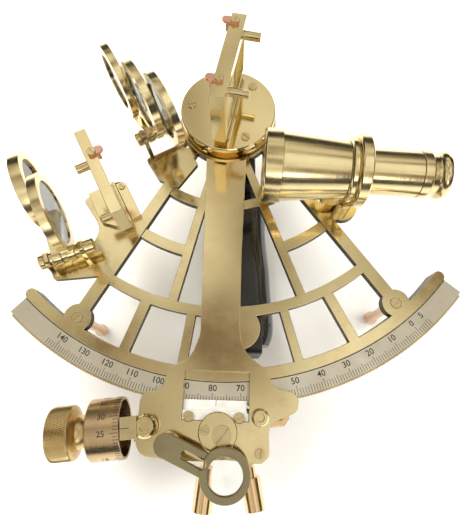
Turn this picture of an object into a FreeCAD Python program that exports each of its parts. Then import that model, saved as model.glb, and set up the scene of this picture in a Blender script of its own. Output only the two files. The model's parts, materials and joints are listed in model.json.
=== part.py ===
import FreeCAD
import Part
import math
import os

# Nautical sextant with a micrometer drum, in millimetres.
# It is laid out about the pivot of the index arm: the scale lies in the plane z = 0,
# +Y runs from the arc to the pivot and +Z rises from the face.
# The finished solids are shifted so that the origin is under the middle, at the feet.

V = FreeCAD.Vector
UP = V(0, 0, 1)

# Frame and arc
FRAME_T = 4.0
FRAME_AXIS = -87.5
HUB_R = 26.0
ARC_HALF_ANGLE = 46.3
RIB_IN, RIB_OUT, RIB_DEPTH = 132.0, 137.3, 10.0
LIMB_OUT = 144.6
SCALE_OUT = 146.6
SCALE_T = 0.6
RACK_TIP, RACK_ROOT = 147.6, 146.4
TEETH_PER_TURN = 720
CROSS_ARCS = ((49.0, 54.0), (75.7, 81.0), (103.6, 108.6))
BOSS_R = 6.6
LEFT_BOSS = (-70.0, -108.6)
RIGHT_BOSS = (79.0, -101.7)
TOP_BOSS = (0.0, 20.5)
FOOT_Z = -41.0

# Index arm
READING = 78.5
ZERO_ANGLE = -52.7
ARM_ANGLE = ZERO_ANGLE - READING / 2
ARM_Z, ARM_T = 0.8, 3.0
ARM_TOP = ARM_Z + ARM_T
DISC_R, DISC_T = 25.0, 3.0
SPACER_R, SPACER_T = 22.5, 3.2
DISC_TOP = ARM_TOP + SPACER_T + DISC_T
SHAFT_R = 6.0
RUN = 0.05

# Worm and drum: the worm axis is a tangent line outside the rack
WORM_SIDE_ANGLE = 7.5
WORM_DIST = 150.9
WORM_Z = -2.3
WORM_R = 3.0
WORM_JOURNAL_R = 1.3
PIVOT_W = 48.6
DRUM_W, DRUM_L, DRUM_R = 59.0, 14.3, 12.7
KNOB_W, KNOB_L, KNOB_R = 76.5, 14.0, 11.4

# Mirrors: angle of the mirror line in plan, middle of the tray, length, lowest and highest edge
HORIZON_ANGLE = 117.0
INDEX_ANGLE = HORIZON_ANGLE - READING / 2
INDEX_MIRROR = (0.4, 0.2)
HORIZON_MIRROR = (-56.0, -51.3)
INDEX_TRAY = (47.8, 7.0, DISC_TOP + 1.2, 46.7)
HORIZON_TRAY = (44.4, 5.2, 5.0, 35.0)
GLASS_T = 2.4

# Telescope
SCOPE_START = (16.0, -43.0)
SCOPE_Z = 25.0
SCOPE_ANGLE = -4.0
SCOPE_FOOT = (57.5, -51.5)
TUBE_R = 10.5
TUBE_END = 69.6
BARREL_END = 46.2

# Shades turn on a pin: middle of the pin in plan, its direction, its height
PIN_R = 1.8
SHADE_R, SHADE_GLASS_R = 17.2, 13.6
INDEX_PIN = (-34.8, -12.4, 30.0, 9.5)
HORIZON_PIN = (-74.6, -80.0, 21.5, 8.5)
# Each shade: place on the pin, sideways set of the ring, tilt, stem length, thickness
INDEX_SHADES = ((-6.6, -2.6, 48.0, 28.4, 3.4), (-1.9, -3.4, 95.0, 28.4, 3.4),
                (3.0, -2.2, 112.0, 28.4, 3.4))
HORIZON_SHADES = ((-4.6, 2.0, 33.0, 31.6, 4.8), (1.6, 3.0, 74.0, 26.5, 3.6))

# The origin, as seen from the pivot
ORIGIN = V(4.415, -81.633, FOOT_Z)

nodes = {}


def add(name, shape):
    shape = shape.removeSplitter()
    nodes[name] = shape


def cyl(radius, height, base, axis=UP):
    return Part.makeCylinder(radius, height, V(*base), V(*axis))


def box(x0, x1, y0, y1, z0, z1):
    return Part.makeBox(x1 - x0, y1 - y0, z1 - z0, V(x0, y0, z0))


def polar(radius, degrees):
    return (radius * math.cos(math.radians(degrees)), radius * math.sin(math.radians(degrees)))


def sector(r_in, r_out, a0, a1, z0, z1):
    """Part of a flat ring between two angles."""
    outer = Part.makeCylinder(r_out, z1 - z0, V(0, 0, z0), UP, a1 - a0)
    inner = Part.makeCylinder(r_in, z1 - z0, V(0, 0, z0), UP, 360)
    piece = outer.cut(inner)
    piece.rotate(V(0, 0, 0), UP, a0)
    return piece


def rounded_wire(points, radii, z=0.0):
    """Closed wire through the points, each corner rounded by a tangent arc."""
    count = len(points)
    if not isinstance(radii, (list, tuple)):
        radii = [radii] * count
    edges = []
    starts = []
    ends = []
    mids = []
    for i in range(count):
        corner = V(points[i][0], points[i][1], z)
        before = (V(points[i - 1][0], points[i - 1][1], z) - corner)
        after = (V(points[(i + 1) % count][0], points[(i + 1) % count][1], z) - corner)
        half = before.getAngle(after) / 2
        back = min(radii[i] / math.tan(half), 0.49 * before.Length, 0.49 * after.Length)
        radius = back * math.tan(half)
        before.normalize()
        after.normalize()
        starts.append(corner + before * back)
        ends.append(corner + after * back)
        bisector = before + after
        if bisector.Length < 1e-6 or radius < 1e-4:
            mids.append(None)
            continue
        bisector.normalize()
        mids.append(corner + bisector * (radius / math.sin(half) - radius))
    for i in range(count):
        if mids[i] is not None:
            edges.append(Part.Arc(starts[i], mids[i], ends[i]).toShape())
        nxt = starts[(i + 1) % count]
        if (nxt - ends[i]).Length > 1e-5:
            edges.append(Part.makeLine(ends[i], nxt))
    return Part.Wire(edges)


def plate(points, radii, z0, z1):
    face = Part.Face(rounded_wire(points, radii, z0))
    return face.extrude(V(0, 0, z1 - z0))


def bar(a, b, width, z0, z1):
    """Straight bar with square ends between two plan points."""
    start = V(a[0], a[1], 0)
    along = V(b[0], b[1], 0) - start
    piece = box(0, along.Length, -width / 2, width / 2, z0, z1)
    piece.rotate(V(0, 0, 0), UP, math.degrees(math.atan2(along.y, along.x)))
    piece.translate(start)
    return piece


def turned(profile, base, axis):
    """Solid of revolution: profile of (distance along the axis, radius)."""
    points = [V(r, 0, w) for w, r in profile]
    wire = Part.makePolygon(points + [points[0]])
    solid = Part.Face(wire).revolve(V(0, 0, 0), UP, 360)
    solid.Placement = FreeCAD.Placement(V(*base), FreeCAD.Rotation(UP, V(*axis)))
    return solid


def placed(shape, x, y, degrees, z=0.0):
    shape.rotate(V(0, 0, 0), UP, degrees)
    shape.translate(V(x, y, z))
    return shape


def arm(shape):
    """From the arm's own plan frame (v to the right, u outward as -y) to the rest pose."""
    shape.rotate(V(0, 0, 0), UP, ARM_ANGLE + 90)
    return shape


def screw_head(x, y, z, radius, height, slot_angle=30):
    head = cyl(radius, height, (x, y, z))
    slot = box(-radius - 1, radius + 1, -0.35, 0.35, z + height * 0.45, z + height + 1)
    return head.cut(placed(slot, x, y, slot_angle))


# ---------------------------------------------------------------- frame

def frame_casting():
    low = -FRAME_T
    pieces = [cyl(HUB_R, FRAME_T, (0, 0, low))]
    for side in (-1, 1):
        direction = FRAME_AXIS + side * 32.4
        offset = side * 7.2
        nx, ny = polar(offset, direction + 90)
        end = RIGHT_BOSS if side > 0 else LEFT_BOSS
        start = polar(12, direction)
        pieces.append(bar((start[0] + nx, start[1] + ny), end, 6.2, low, 0))
        pieces.append(cyl(BOSS_R, 5.0, (end[0], end[1], -5.0)))
        spoke = FRAME_AXIS + side * 17
        pieces.append(bar(polar(20, spoke), polar(106, spoke), 4.4, low, 0))
        for step, width in ((11.5, 4.2), (23.4, 5.0)):
            angle = FRAME_AXIS + side * step
            pieces.append(bar(polar(106, angle), polar(134, angle), width, low, 0))
        r_in, r_out = CROSS_ARCS[1]
        edge = FRAME_AXIS + side * 35
        pieces.append(sector(r_in, r_out, min(edge, spoke), max(edge, spoke), low, 0))
    for r_in, r_out, half in (CROSS_ARCS[0] + (36.5,), CROSS_ARCS[2] + (34.5,)):
        pieces.append(sector(r_in, r_out, FRAME_AXIS - half, FRAME_AXIS + half, low, 0))
    a0 = FRAME_AXIS - ARC_HALF_ANGLE
    a1 = FRAME_AXIS + ARC_HALF_ANGLE
    pieces.append(sector(RIB_IN, RIB_OUT, a0, a1, -RIB_DEPTH, 0))
    for angle in (a0, a1):
        x, y = polar((RIB_IN + RIB_OUT) / 2, angle)
        pieces.append(cyl((RIB_OUT - RIB_IN) / 2, RIB_DEPTH, (x, y, -RIB_DEPTH)))
    pieces.append(sector(RIB_OUT - 0.5, LIMB_OUT, a0, a1, low, -SCALE_T))
    lobe = polar(113.5, FRAME_AXIS)
    pieces.append(cyl(10.0, FRAME_T, (lobe[0], lobe[1], low)))
    upper = polar(29.0, FRAME_AXIS)
    pieces.append(cyl(9.0, FRAME_T, (upper[0], upper[1], low)))
    pieces.append(ear_for_mirror_and_shades())
    pieces.append(ear_for_index_shades())
    pieces.append(cyl(8.0, FRAME_T, (SCOPE_FOOT[0], SCOPE_FOOT[1], low)))
    pieces.append(bar(polar(72, -50.5), SCOPE_FOOT, 12, low, 0))
    body = pieces[0].fuse(pieces[1:])
    body = body.cut(cyl(SHAFT_R + RUN, 60, (0, 0, -30)))
    for x, y in (LEFT_BOSS, RIGHT_BOSS, TOP_BOSS):
        body = body.cut(cyl(2.5, 20, (x, y, -12)))
    return body


def ear_for_mirror_and_shades():
    """Flat lug of the casting that carries the horizon mirror and its shades."""
    outline = [(-74, -48), (-54, -38), (-44, -58), (-52, -82), (-60.5, -88.5), (-83.3, -90.6),
               (-86.5, -83.5), (-68, -75), (-63, -64)]
    return plate(outline, [2, 3, 2, 1, 1, 2, 2, 6, 10], -3.0, 0)


def ear_for_index_shades():
    outline = [(-43.6, -24.0), (-36.0, -36.5), (-26.0, -41.0), (-16.0, -27.0), (-24.0, -13.5)]
    return plate(outline, [1.5, 2, 1, 1, 1.5], -3.0, 0)


def arc_scale():
    return sector(RIB_OUT + 0.05, SCALE_OUT - 0.1, FRAME_AXIS - ARC_HALF_ANGLE,
                  FRAME_AXIS + ARC_HALF_ANGLE, -SCALE_T, 0.0)


def arc_rack():
    """Toothed strip on the edge of the limb, one tooth every half degree."""
    pitch = 360.0 / TEETH_PER_TURN
    count = int(2 * (ARC_HALF_ANGLE - 0.5) / pitch)
    start = FRAME_AXIS - count * pitch / 2
    points = []
    for i in range(count):
        angle = start + i * pitch
        points.append(polar(RACK_ROOT, angle))
        points.append(polar(RACK_TIP, angle + pitch * 0.35))
        points.append(polar(RACK_TIP, angle + pitch * 0.65))
    points.append(polar(RACK_ROOT, start + count * pitch))
    inner = LIMB_OUT + 0.05
    low, high = -FRAME_T, -SCALE_T
    outer_edges = [Part.makeLine(V(a[0], a[1], low), V(b[0], b[1], low))
                   for a, b in zip(points, points[1:])]
    first, last = points[0], points[-1]
    in_last = polar(inner, start + count * pitch)
    in_mid = polar(inner, FRAME_AXIS)
    in_first = polar(inner, start)
    outer_edges.append(Part.makeLine(V(last[0], last[1], low), V(in_last[0], in_last[1], low)))
    outer_edges.append(Part.Arc(V(in_last[0], in_last[1], low), V(in_mid[0], in_mid[1], low),
                                V(in_first[0], in_first[1], low)).toShape())
    outer_edges.append(Part.makeLine(V(in_first[0], in_first[1], low), V(first[0], first[1], low)))
    return Part.Face(Part.Wire(outer_edges)).extrude(V(0, 0, high - low))


def leg(x, y, top):
    profile = [(0, 0), (0, 2.4), (2.0, 3.3), (4.5, 3.3), (6.0, 2.5), (8.0, 2.3),
               (top - FOOT_Z - 3.0, 2.5), (top - FOOT_Z, 2.5), (top - FOOT_Z, 0)]
    return turned(profile, (x, y, FOOT_Z), (0, 0, 1))


def legs_and_screws():
    spots = (LEFT_BOSS + (-5.0,), RIGHT_BOSS + (-5.0,), TOP_BOSS + (-4.0,))
    legs = Part.makeCompound([leg(x, y, low) for x, y, low in spots])
    screws = []
    for x, y, low in spots:
        screw = cyl(2.45, -low, (x, y, low))
        slot = placed(box(-2, 2, -0.3, 0.3, -0.6, 1), x, y, 40)
        screws.append(screw.cut(slot))
    add("legs", legs)
    return screws


def pivot_bearing():
    body = turned([(0, SHAFT_R + RUN), (0, 12.0), (17.0, 15.0), (17.0, SHAFT_R + RUN)],
                  (0, 0, -FRAME_T - 17.0), (0, 0, 1))
    body = body.cut(cyl(9.0, 5.0, (0, 0, -21.0)))
    add("pivot_bearing", body)
    add("pivot_bearing_cap", turned([(0, 0), (0, 10.0), (1.2, 11.8), (3.0, 12.0), (3.0, 0)],
                                    (0, 0, -24.0), (0, 0, 1)))


def handle():
    """Shaped black grip between two brackets behind the frame."""
    sections = ((-25.3, 7.0, 20.0, 15.0), (-31.0, 7.2, 25.0, 19.5), (-55.0, 7.4, 26.5, 21.0),
                (-80.0, 8.0, 28.5, 21.5), (-104.0, 8.6, 29.5, 21.5), (-115.0, 8.8, 27.5, 20.0),
                (-118.7, 8.8, 24.0, 17.0))
    wires = []
    for y, x, width, depth in sections:
        half_w, half_d = width / 2, depth / 2
        corners = [(x - half_w, -28.5 - half_d), (x + half_w, -28.5 - half_d),
                   (x + half_w, -28.5 + half_d), (x - half_w, -28.5 + half_d)]
        flat = rounded_wire(corners, min(half_w, half_d) * 0.82)
        flat.rotate(V(0, 0, 0), V(1, 0, 0), 90)
        flat.translate(V(0, y, 0))
        wires.append(flat)
    grip = Part.makeLoft(wires, True, False)
    add("handle_grip", grip)
    lower = box(1.0, 16.0, -124.5, -107.0, -10.0, -FRAME_T - 0.02)
    lower = lower.fuse(box(1.0, 16.0, -124.5, -119.0, -36.0, -10.0))
    lower = lower.makeFillet(4.0, [e for e in lower.Edges if abs(e.BoundBox.XLength - 15.0) < 0.01
                                   and e.BoundBox.YMax < -124.0])
    upper = box(0.5, 14.5, -37.0, -19.5, -10.0, -FRAME_T - 0.02)
    upper = upper.fuse(box(0.5, 14.5, -25.0, -19.5, -36.0, -10.0))
    add("handle_brackets", Part.makeCompound([lower, upper]))
    return [cyl(2.2, 3.2, (8.5, -127.7, -28.5), (0, 1, 0)),
            cyl(2.2, 3.2, (7.5, -19.4, -28.5), (0, 1, 0))]


# ---------------------------------------------------------------- telescope

def scope(profile):
    axis = polar(1.0, SCOPE_ANGLE) + (0.0,)
    return turned(profile, SCOPE_START + (SCOPE_Z,), axis)


def telescope():
    add("objective_cell", scope([(0.0, 13.6), (0.0, 16.0), (0.8, 16.7), (8.0, 16.7), (8.0, 14.6),
                                 (2.4, 14.6), (2.4, 13.6)]))
    add("objective_lens", scope([(2.5, 0.0), (2.5, 14.5), (6.3, 14.5), (7.2, 0.0)]))
    bore = TUBE_R + RUN
    add("telescope_barrel", scope([(8.1, 13.6), (8.1, 15.8), (37.6, 13.0), (37.6, bore),
                                   (35.0, bore), (35.0, 11.4)]))
    add("telescope_collar", scope([(37.7, bore), (37.7, 13.8), (38.5, 14.6), (40.4, 14.6),
                                   (41.0, 14.0), (41.0, 16.0), (41.8, 16.6), (45.6, 16.6),
                                   (BARREL_END, 16.0), (BARREL_END, bore)]))
    x, y = SCOPE_FOOT
    post = cyl(4.5, 8.0, (x, y, 0.02))
    saddle = plate([(29.5, -8.5), (46.0, -7.0), (46.0, 5.0), (29.5, 5.0)], 4.0, 4.8, 14.0)
    placed(saddle, SCOPE_START[0], SCOPE_START[1], SCOPE_ANGLE)
    keep_out = scope([(5.0, 0.0), (5.0, 16.15), (37.65, 13.05), (37.65, 14.65), (40.95, 14.65),
                      (40.95, 16.65), (60.0, 16.65), (60.0, 0.0)])
    bracket = post.fuse(saddle).cut(keep_out)
    add("telescope_bracket", sorted(bracket.Solids, key=lambda part: part.Volume)[-1])
    end = TUBE_END
    add("eyepiece_tube", scope([(20.0, 9.2), (20.0, TUBE_R), (end, TUBE_R), (end, 9.2)]))
    w = end + 0.1
    add("eyecup", scope([(w, 6.8), (w, 10.9), (w + 3.8, 10.9), (w + 4.8, 9.4), (w + 7.6, 9.2),
                         (w + 8.6, 10.4), (w + 10.2, 10.9), (w + 12.0, 10.4), (w + 12.0, 8.6),
                         (w + 4.3, 6.8)]))
    add("eye_lens", scope([(end - 3.2, 0.0), (end - 3.2, 9.1), (end - 0.6, 9.1), (end, 0.0)]))


# ---------------------------------------------------------------- mirrors

def mirror_set(prefix, centre, angle, tray, side, half_foot, step, clip_places):
    """Metal tray with a plate glass on one side, held at the top by spring clips."""
    length, thick, z0, z1 = tray
    half = length / 2

    def put(shape):
        return placed(shape, centre[0], centre[1], angle)

    body = box(-half, half, -thick / 2, thick / 2, z0, z1)
    for end in (-1, 1):
        a, b = sorted((end * half * 1.01, end * half_foot))
        body = body.cut(box(a, b, -thick, thick, z0 - 1, z0 + step))
    floor_z = z0 + step + 1.6
    y0, y1 = sorted((side * (thick / 2 - GLASS_T), side * thick))
    body = body.cut(box(-half + 2.0, half - 2.0, y0, y1, floor_z, z1 - 2.0))
    body = body.cut(box(-half + 5.0, half - 5.0, -thick, thick, floor_z + 3, z1 - 5.0))
    g0, g1 = sorted((side * (thick / 2 - GLASS_T + 0.02), side * (thick / 2 - 0.05)))
    glass = box(-half + 2.05, half - 2.05, g0, g1, floor_z + 0.02, z1 - 2.05)
    add(prefix + "_mirror_glass", put(glass))
    face = side * thick / 2
    clips = []
    screws = []
    for place in clip_places:
        a, b = sorted((-side * 0.8, face + side * 1.7))
        clip = box(place - 1.9, place + 1.9, a, b, z1 + 0.02, z1 + 1.1)
        clip = clip.fuse(cyl(1.9, 1.08, (place, face + side * 1.7, z1 + 0.02)))
        a, b = sorted((face + side * 0.05, face + side * 1.6))
        clip = clip.fuse(box(place - 1.4, place + 1.4, a, b, z1 - 4.6, z1 + 0.5))
        clips.append(clip.removeSplitter())
        screws.append(screw_head(place, side * 1.0, z1 + 1.12, 1.9, 0.9, 20))
    add(prefix + "_mirror_clips", put(Part.makeCompound(clips)))
    return put, body, screws


def adjuster(place, z, start, reach, side, tip=0.0):
    pin = cyl(2.1, reach, (place, start, z), (0, side, 0))
    if tip:
        pin = pin.fuse(cyl(1.6, tip, (place, start + side * reach, z), (0, side, 0)))
    return pin


def mirrors():
    length, thick, z0, z1 = INDEX_TRAY
    put, body, screws = mirror_set("index", INDEX_MIRROR, INDEX_ANGLE, INDEX_TRAY, 1, 20.0, 3.0,
                                   (18.3, -15.0))
    body = body.fuse(box(-19.0, 19.0, -4.2, 4.2, DISC_TOP + 0.01, z0 + 0.5))
    add("index_mirror_frame", put(body))
    start = -thick / 2 - 0.02
    screws.append(adjuster(19.0, z1 - 7.0, start, 7.9, -1))
    screws.append(adjuster(-14.4, z1 - 7.0, start, 6.6, -1, 2.4))
    disc_screws = []
    for angle in (49.5, -61.0, 174.0):
        x, y = polar(19.4, angle)
        disc_screws.append(arm(screw_head(x, y, DISC_TOP + 0.02, 2.3, 0.8, angle + 20)))
    add("index_mirror_screws", Part.makeCompound([put(s) for s in screws] + disc_screws))

    length, thick, z0, z1 = HORIZON_TRAY
    put, body, screws = mirror_set("horizon", HORIZON_MIRROR, HORIZON_ANGLE, HORIZON_TRAY, -1,
                                   15.5, 11.0, (8.6,))
    for end in (-1, 1):
        a, b = sorted((end * 15.0, end * 19.0))
        body = body.fuse(box(a, b, -thick / 2, thick / 2, z0 + 5.5, z0 + 11.2))
    add("horizon_mirror_frame", put(body))
    start = thick / 2 + 0.02
    screws.append(adjuster(8.7, z1 - 7.0, start, 6.0, 1))
    screws.append(adjuster(-10.0, 12.0, start, 6.0, 1))
    base = plate([(-11.5, -8.4), (11.2, -8.4), (11.2, 10.8), (-6.0, 10.8), (-11.5, 5.0)],
                 [1, 4, 4, 2, 3], 0.02, 2.6)
    base = base.fuse(box(-13.5, 11.0, -3.4, 3.4, 0.02, z0 - 0.02))
    base = base.fuse(box(-5.0, 9.4, 4.6, 10.6, 2.5, 6.0))
    base = base.fuse(box(-18.6, -13.4, -2.2, 2.2, 0.02, 2.6))
    add("horizon_mirror_base", put(base))
    screws.append(screw_head(-16.6, 0, 2.62, 1.6, 0.9))
    screws.append(screw_head(7.6, -5.8, 2.62, 1.6, 0.9))
    add("horizon_mirror_screws", put(Part.makeCompound(screws)))


# ---------------------------------------------------------------- shades

def on_pin(shape, pin, w):
    """From the shade's own frame (x across the pin, y along it, z up) to the rest pose."""
    x, y, angle, z = pin
    dx, dy = polar(w, angle)
    shape.rotate(V(0, 0, 0), UP, angle - 90)
    shape.translate(V(x + dx, y + dy, z))
    return shape


def along_pin(profile, pin, w):
    """Turned piece around the pin's axis, starting at w."""
    x, y, angle, z = pin
    dx, dy = polar(w, angle)
    return turned(profile, (x + dx, y + dy, z), polar(1.0, angle) + (0.0,))


def shade(prefix, number, pin, sizes):
    """Ringed colour glass on a stem that turns about the pin."""
    w, jog, tilt, stem, thick = sizes
    half = thick / 2
    ring = cyl(SHADE_R, thick, (-stem, jog - half, 0), (0, 1, 0))
    reach = stem - SHADE_R + 2.5
    foot_t = min(thick, 3.8)
    edge = foot_t / 2
    outline = [(0, -edge), (-3.0, -edge), (-reach + 2.0, jog - edge), (-reach, jog - edge),
               (-reach, jog + edge), (-reach + 2.0, jog + edge), (-3.0, edge), (0, edge)]
    corners = [V(x, y, -3.0) for x, y in outline]
    stem_bar = Part.Face(Part.makePolygon(corners + [corners[0]])).extrude(V(0, 0, 6.0))
    knuckle = cyl(4.0, foot_t, (0, -foot_t / 2, 0), (0, 1, 0))
    body = ring.fuse([stem_bar, knuckle])
    body = body.cut(cyl(SHADE_GLASS_R - 1.0, 30, (-stem, -15, 0), (0, 1, 0)))
    body = body.cut(cyl(SHADE_GLASS_R, 10, (-stem, jog - 0.6, 0), (0, 1, 0)))
    body = body.cut(cyl(PIN_R + RUN, 20, (0, -10, 0), (0, 1, 0)))
    glass = cyl(SHADE_GLASS_R - 0.05, 1.8, (-stem, jog - 0.58, 0), (0, 1, 0))
    for piece in (body, glass):
        piece.rotate(V(0, 0, 0), V(0, 1, 0), tilt)
        on_pin(piece, pin, w)
    add("%s_shade_%d" % (prefix, number), body)
    add("%s_shade_glass_%d" % (prefix, number), glass)


CHEEK_T = 2.2


def shade_hinge(pin, span, shades, ledges, nut_t):
    """Two cheeks on the casting's lug hold the pin; washers keep the shades apart."""
    w0, w1 = span
    z = pin[3]
    cheeks = []
    for w, ledge in zip((w0 + CHEEK_T / 2, w1 - CHEEK_T / 2), ledges):
        profile = [V(ledge[0], 0, 0.02), V(ledge[1], 0, 0.02), V(-3.9, 0, z - 2.0),
                   V(-3.9, 0, z + 1.8), V(-1.9, 0, z + 3.9), V(1.9, 0, z + 3.9), V(3.9, 0, z + 1.8)]
        cheek = Part.Face(Part.makePolygon(profile + [profile[0]])).extrude(V(0, CHEEK_T, 0))
        cheek.translate(V(0, -CHEEK_T / 2, -z))
        cheek = cheek.cut(cyl(PIN_R + 0.01, 20, (0, -10, 0), (0, 1, 0)))
        cheeks.append(on_pin(cheek, pin, w))
    length = w1 - w0 + 3.0 + nut_t
    rod = along_pin([(0, 0), (0, PIN_R), (length, PIN_R), (length, 0)], pin, w0 - 3.0)
    knob = along_pin([(0, 0), (0, 2.8), (0.6, 3.5), (2.6, 3.5), (2.95, 3.2), (2.95, 0)], pin, w0 - 3.0)
    washers = [along_pin([(0, PIN_R + 0.01), (0, 3.4), (nut_t - 0.4, 3.4), (nut_t, 2.6),
                          (nut_t, PIN_R + 0.01)], pin, w1 + 0.03)]
    low = w0 + CHEEK_T
    for w, thick in [(s[0], min(s[4], 3.8)) for s in shades] + [(w1 - CHEEK_T, 0.0)]:
        width = w - thick / 2 - low - 0.3
        if width > 0.4:
            washers.append(along_pin([(0, PIN_R + 0.01), (0, 3.3), (width, 3.3),
                                      (width, PIN_R + 0.01)], pin, low + 0.15))
        low = w + thick / 2
    return cheeks, rod.fuse(knob), washers


def shades():
    index = shade_hinge(INDEX_PIN, (-11.2, 9.6), INDEX_SHADES, ((8.0, 2.0), (9.8, 3.5)), 1.2)
    horizon = shade_hinge(HORIZON_PIN, (-10.4, 8.0), HORIZON_SHADES, ((6.0, -4.0), (6.0, -4.0)), 4.6)
    add("shade_brackets", Part.makeCompound(index[0] + horizon[0]))
    add("shade_pins", Part.makeCompound([index[1], horizon[1]]))
    add("shade_spacers", Part.makeCompound(index[2] + horizon[2]))
    for i, sizes in enumerate(INDEX_SHADES):
        shade("index", i + 1, INDEX_PIN, sizes)
    for i, sizes in enumerate(HORIZON_SHADES):
        shade("horizon", i + 1, HORIZON_PIN, sizes)


# ---------------------------------------------------------------- index arm

WINDOW = (14.2, 133.0, 150.2)
PLATE_SCREWS = (-11.3, 10.1)


def index_arm():
    outline = [(-10.3, -10), (-10.3, 28), (-9.2, 77), (-8.3, 117), (-12.0, 128), (-21.7, 132.4),
               (-22.6, 141.5), (-32.6, 142.6), (-32.6, 167.4), (-17.0, 169.0), (19.8, 169.0),
               (23.0, 166), (22.6, 154.0), (35.0, 148.5), (35.6, 141.2), (24.8, 139.2),
               (21.2, 131.0), (12.5, 125.5), (9.4, 117), (9.2, 77), (10.3, 28), (10.3, -10)]
    points = [(v, -u) for v, u in outline]
    radii = [0, 40, 60, 14, 14, 4, 5, 5, 6, 8, 3, 3, 5, 4, 4, 5, 8, 14, 30, 60, 40, 0]
    body = plate(points, radii, ARM_Z, ARM_TOP)
    body = body.fuse(cyl(24.4, ARM_T, (0, 0, ARM_Z)))
    half, u0, u1 = WINDOW
    body = body.cut(box(-half, half, -u1, -u0, -5, 10))
    body = body.cut(box(-half, half, -u1 - 3.0, -u1 + 0.1, ARM_Z + 1.2, 10))
    for v in PLATE_SCREWS:
        body = body.cut(cyl(2.3, 10, (v, -151.6, ARM_Z + 1.2)))
    v, u = PIVOT_HOLE
    body = body.cut(cyl(2.5 + RUN, 20, (v, -u, -5)))
    v, u = MAGNIFIER_PIVOT
    body = body.cut(cyl(2.0, 20, (v, -u, -5)))
    body = body.cut(cyl(SHAFT_R - 1.0, 20, (0, 0, -5)))
    add("index_arm", arm(body))


def worm_frame_point(w, n):
    """Point (v, u) of the arm's plan at w along the worm axis and n outward from it."""
    a = math.radians(WORM_SIDE_ANGLE)
    v = WORM_DIST * math.sin(a) - w * math.cos(a) + n * math.sin(a)
    u = WORM_DIST * math.cos(a) + w * math.sin(a) + n * math.cos(a)
    return (v, u)


PIVOT_HOLE = worm_frame_point(PIVOT_W, 0.0)
MAGNIFIER_PIVOT = (-19.0, 162.5)
RING_CENTRE = (5.0, 172.2)
MAG_Z = 10.0


def arm_fittings():
    disc = cyl(DISC_R, DISC_T, (0, 0, DISC_TOP - DISC_T))
    disc = disc.makeChamfer(0.5, [e for e in disc.Edges if e.BoundBox.ZMin > DISC_TOP - 0.1])
    add("pivot_disc", disc.fuse(cyl(SPACER_R, SPACER_T, (0, 0, ARM_TOP + 0.01))))
    shaft = turned([(0, 0), (0, SHAFT_R), (16.8, SHAFT_R), (16.8, SHAFT_R - 1.05), (19.8, SHAFT_R - 1.05),
                    (19.8, 0)], (0, 0, ARM_Z - 16.8), (0, 0, 1))
    add("pivot_shaft", shaft)
    washer = cyl(8.4, 1.6, (0, 0, ARM_Z - 16.8 - 1.62))
    head = cyl(3.4, 2.0, (0, 0, ARM_Z - 16.8 - 3.64))
    add("pivot_retainer", Part.makeCompound([washer, head]))
    half = WINDOW[0]
    vane = box(-half + 0.1, 13.3, -150.1, -144.9, 0.7, 2.0)
    flange = box(-half + 0.1, half - 0.1, -153.1, -150.0, ARM_Z + 1.21, ARM_Z + 2.6)
    link = box(-half + 0.1, 13.3, -150.1, -149.2, 0.7, ARM_Z + 2.6)
    add("index_plate", arm(vane.fuse([flange, link])))
    screws = [screw_head(v, -151.6, ARM_Z + 2.62, 2.2, 1.0) for v in PLATE_SCREWS]
    cap = cyl(8.2, 2.3, (1.35, -157.6, ARM_TOP + 0.01))
    cap = cap.makeChamfer(0.4, [e for e in cap.Edges if e.BoundBox.ZMin > ARM_TOP + 1])
    add("lever_pivot_cap", arm(cap))
    screws.append(screw_head(-4.1, -156.9, ARM_TOP + 2.33, 2.1, 0.8, -15))
    screws.append(screw_head(3.1, -158.7, ARM_TOP + 2.33, 4.1, 1.6, 55))
    screws.append(screw_head(18.9, -165.2, ARM_TOP + 0.01, 2.1, 0.9, 85))
    screws += [cyl(1.9, 0.3, (v, -u, ARM_TOP + 0.01)) for v, u in ((-28.5, 145.8), (29.0, 145.0))]
    add("arm_screws", arm(Part.makeCompound(screws)))
    boss = turned([(0, 0), (0, 3.6), (3.6, 3.6), (4.6, 2.8), (4.6, 1.7), (2.0, 1.7), (2.0, 0)],
                  (18.8, -151.2, ARM_TOP + 0.01), (0, 0, 1))
    add("stop_boss", arm(boss))
    v, u = MAGNIFIER_PIVOT
    post = turned([(0, 0), (0, 1.95), (ARM_T, 1.95), (ARM_T + 0.02, 4.8), (MAG_Z - ARM_Z - 0.3, 4.2),
                   (MAG_Z - ARM_Z - 0.3, 2.5), (MAG_Z - ARM_Z + 2.2, 2.5), (MAG_Z - ARM_Z + 2.2, 0)],
                  (v, -u, ARM_Z), (0, 0, 1))
    add("magnifier_post", arm(post))
    fixed = release_lever(-1.9, 163.0, -4.3, 189.0)
    lug = box(-6.0, 2.0, -168.6, -162.6, -3.4, ARM_Z - 0.02)
    add("fixed_release_lever", arm(fixed.fuse(lug)))
    leaf = box(2.05, 6.6, -163.4, -162.9, -5.5, ARM_Z - 0.4)
    add("release_spring", arm(leaf))


LEVER_R = 4.1
LEVER_Z = -5.0


def release_lever(v0, u0, v1, u1):
    """Round finger grip pointing outward under the end of the arm."""
    axis = V(v1 - v0, -(u1 - u0), 0)
    length = axis.Length
    axis.normalize()
    stem_len = 10.0
    stem = Part.makeCylinder(2.6, stem_len, V(v0, -u0, LEVER_Z), axis)
    start = V(v0, -u0, LEVER_Z) + axis * (stem_len - 0.5)
    grip = Part.makeCylinder(LEVER_R, length - stem_len + 0.5, start, axis)
    hollow_start = V(v0, -u0, LEVER_Z) + axis * (length - 6.0)
    grip = grip.cut(Part.makeCylinder(LEVER_R - 1.0, 7.0, hollow_start, axis))
    return stem.fuse(grip)


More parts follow.
